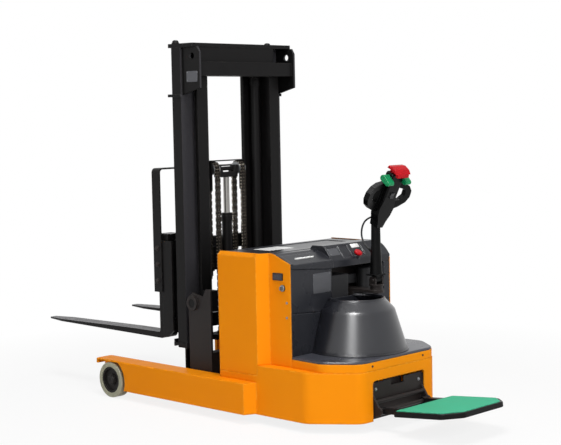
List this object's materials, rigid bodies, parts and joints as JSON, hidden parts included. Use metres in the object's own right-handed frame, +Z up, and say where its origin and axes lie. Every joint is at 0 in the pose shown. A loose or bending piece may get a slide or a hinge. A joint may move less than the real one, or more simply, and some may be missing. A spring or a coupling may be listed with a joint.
{
  "type": "electric stacker",
  "caption": "Stand-on electric straddle stacker with a reach mast, free-lift cylinder and leaf chains, forks, backrest hoop, domed drive cover, tiller and fold-up platform.",
  "frame": {"origin": "centre of the bounding box at floor height, under the wheels", "axes": "+X to the truck's right, +Y forward to the fork tips, +Z up"},
  "size_m": [1.098, 3.1325, 2.082],
  "materials": {
    "orange_paint": "gloss powder coat",
    "frame_paint": "satin powder coat",
    "cover_plastic": "fine grained moulding",
    "tiller_plastic": "fine grained moulding",
    "dome_plastic": "smooth moulding",
    "battery_case": "plain moulding",
    "display_plastic": "plain moulding",
    "polyurethane": "cast polyurethane tread",
    "hub_iron": "painted casting",
    "roller_steel": "turned steel",
    "chrome_rod": "hard chrome",
    "mast_paint": "satin black paint",
    "chain_steel": "oiled steel",
    "cable_rubber": "smooth jacket",
    "green_plastic": "smooth moulding",
    "red_plastic": "smooth moulding",
    "rocker_plastic": "smooth moulding",
    "mat_rubber": "ribbed mat"
  },
  "bodies": {
    "chassis": {"chassis_tub": "orange_paint", "inner_frame": "frame_paint", "deck_rim": "orange_paint", "deck_cover": "cover_plastic", "drive_cover": "dome_plastic", "left_leg": "orange_paint", "right_leg": "orange_paint", "left_side_panel": "orange_paint", "right_side_panel": "orange_paint", "lower_rear_cover": "cover_plastic", "upper_rear_cover": "cover_plastic", "dash_panel": "cover_plastic", "battery_hood": "cover_plastic", "battery": "battery_case", "hydraulic_unit": "battery_case", "display_unit": "display_plastic", "platform_bracket": "frame_paint", "reach_barrel": "frame_paint"},
    "drive_unit": {"drive_unit": "frame_paint"},
    "drive_wheel": {"drive_wheel": "polyurethane"},
    "left_wheel": {"left_load_hub": "hub_iron", "left_load_tyre": "polyurethane"},
    "right_wheel": {"right_load_hub": "hub_iron", "right_load_tyre": "polyurethane"},
    "reach_carriage": {"reach_frame": "frame_paint", "reach_rollers": "roller_steel", "reach_rod": "chrome_rod"},
    "fixed_mast": {"left_fixed_upright": "mast_paint", "right_fixed_upright": "mast_paint", "fixed_ties": "mast_paint", "lift_barrels": "mast_paint"},
    "moving_mast": {"left_moving_upright": "mast_paint", "right_moving_upright": "mast_paint", "mast_top_plate": "mast_paint", "mast_rear_beam": "mast_paint", "mast_front_tie": "mast_paint", "crosshead_guides": "mast_paint", "lift_rods": "chrome_rod", "free_lift_barrel": "mast_paint", "rear_chains": "chain_steel"},
    "crosshead": {"free_lift_rod": "chrome_rod", "crosshead": "mast_paint"},
    "sheaves": {"sheaves": "roller_steel"},
    "fork_carriage": {"fork_carriage": "mast_paint", "carriage_rollers": "roller_steel", "backrest": "mast_paint", "front_chains": "chain_steel"},
    "left_fork": {"left_fork": "mast_paint"},
    "right_fork": {"right_fork": "mast_paint"},
    "tiller_turret": {"tiller_turret": "frame_paint"},
    "tiller_arm": {"tiller_arm": "tiller_plastic", "tiller_head": "tiller_plastic", "tiller_cable": "cable_rubber"},
    "throttle": {"throttle": "green_plastic"},
    "belly_button": {"belly_button": "red_plastic"},
    "lift_rocker": {"lift_rocker": "rocker_plastic"},
    "stop_button": {"stop_button": "red_plastic"},
    "ignition_key": {"ignition_key": "roller_steel"},
    "platform": {"platform_pan": "mast_paint", "platform_mat": "mat_rubber"}
  },
  "joints": [
    {"name": "reach_slide", "type": "slide", "parent": "chassis", "child": "reach_carriage", "axis": [0, 1, 0], "range_m": [0, 0.42]},
    {"name": "mast_tilt", "type": "hinge", "parent": "reach_carriage", "child": "fixed_mast", "pos_m": [0, 0.1405, 0.6], "axis": [1, 0, 0], "range_deg": [-2, 4]},
    {"name": "mast_lift", "type": "slide", "parent": "fixed_mast", "child": "moving_mast", "axis": [0, 0, 1], "range_m": [0, 1.25]},
    {"name": "free_lift", "type": "slide", "parent": "moving_mast", "child": "crosshead", "axis": [0, 0, 1], "range_m": [-0.15, 0.45], "deforming": ["rear_chains"]},
    {"name": "chain_lift", "type": "slide", "parent": "crosshead", "child": "fork_carriage", "axis": [0, 0, 1], "range_m": [-0.15, 0.45], "deforming": ["front_chains"]},
    {"name": "sheave_spin", "type": "hinge", "parent": "crosshead", "child": "sheaves", "pos_m": [0, 0.2835, 1.345], "axis": [1, 0, 0], "range_deg": [-230, 690]},
    {"name": "left_fork_slide", "type": "slide", "parent": "fork_carriage", "child": "left_fork", "axis": [1, 0, 0], "range_m": [0, 0.2]},
    {"name": "right_fork_slide", "type": "slide", "parent": "fork_carriage", "child": "right_fork", "axis": [-1, 0, 0], "range_m": [0, 0.2]},
    {"name": "drive_steer", "type": "hinge", "parent": "chassis", "child": "drive_unit", "pos_m": [0, -0.7285, 0.3], "axis": [0, 0, 1], "range_deg": [-80, 80]},
    {"name": "drive_spin", "type": "hinge", "parent": "drive_unit", "child": "drive_wheel", "pos_m": [0, -0.7285, 0.115], "axis": [1, 0, 0], "continuous": true},
    {"name": "left_wheel_spin", "type": "hinge", "parent": "chassis", "child": "left_wheel", "pos_m": [-0.512, 0.7425, 0.106], "axis": [1, 0, 0], "continuous": true},
    {"name": "right_wheel_spin", "type": "hinge", "parent": "chassis", "child": "right_wheel", "pos_m": [0.512, 0.7425, 0.106], "axis": [1, 0, 0], "continuous": true},
    {"name": "tiller_steer", "type": "hinge", "parent": "chassis", "child": "tiller_turret", "pos_m": [0.16, -0.7315, 0.684], "axis": [0, 0, 1], "range_deg": [-80, 80]},
    {"name": "tiller_tilt", "type": "hinge", "parent": "tiller_turret", "child": "tiller_arm", "pos_m": [0.16, -0.7315, 0.738], "axis": [1, 0, 0], "range_deg": [0, 55], "stiffness_Nm_per_rad": 40, "springref_deg": -14.32},
    {"name": "throttle_twist", "type": "hinge", "parent": "tiller_arm", "child": "throttle", "pos_m": [0.16, -0.86568, 1.30695], "axis": [1, 0, 0], "range_deg": [-30, 30], "stiffness_Nm_per_rad": 0.5},
    {"name": "belly_press", "type": "slide", "parent": "tiller_arm", "child": "belly_button", "axis": [0, 0.4384, -0.8988], "range_m": [0, 0.006], "stiffness_N_per_m": 1500, "springref_m": -0.003},
    {"name": "lift_rock", "type": "hinge", "parent": "tiller_arm", "child": "lift_rocker", "pos_m": [0.16, -0.84429, 1.20835], "axis": [1, 0, 0], "range_deg": [-8, 8], "stiffness_Nm_per_rad": 0.4},
    {"name": "stop_press", "type": "slide", "parent": "chassis", "child": "stop_button", "axis": [0, 0.5, -0.866], "range_m": [0, 0.005]},
    {"name": "key_turn", "type": "hinge", "parent": "chassis", "child": "ignition_key", "pos_m": [-0.414, -0.5655, 0.739], "axis": [-1, 0, 0], "range_deg": [0, 90]},
    {"name": "platform_fold", "type": "hinge", "parent": "chassis", "child": "platform", "pos_m": [0, -1.0445, 0.104], "axis": [-1, 0, 0], "range_deg": [-5, 80]}
  ],
  "couplings": [
    {"joint": "chain_lift", "follows": "free_lift", "ratio": 1},
    {"joint": "sheave_spin", "follows": "free_lift", "rad_per_m": 26.316},
    {"joint": "tiller_steer", "follows": "drive_steer", "ratio": 1}
  ]
}
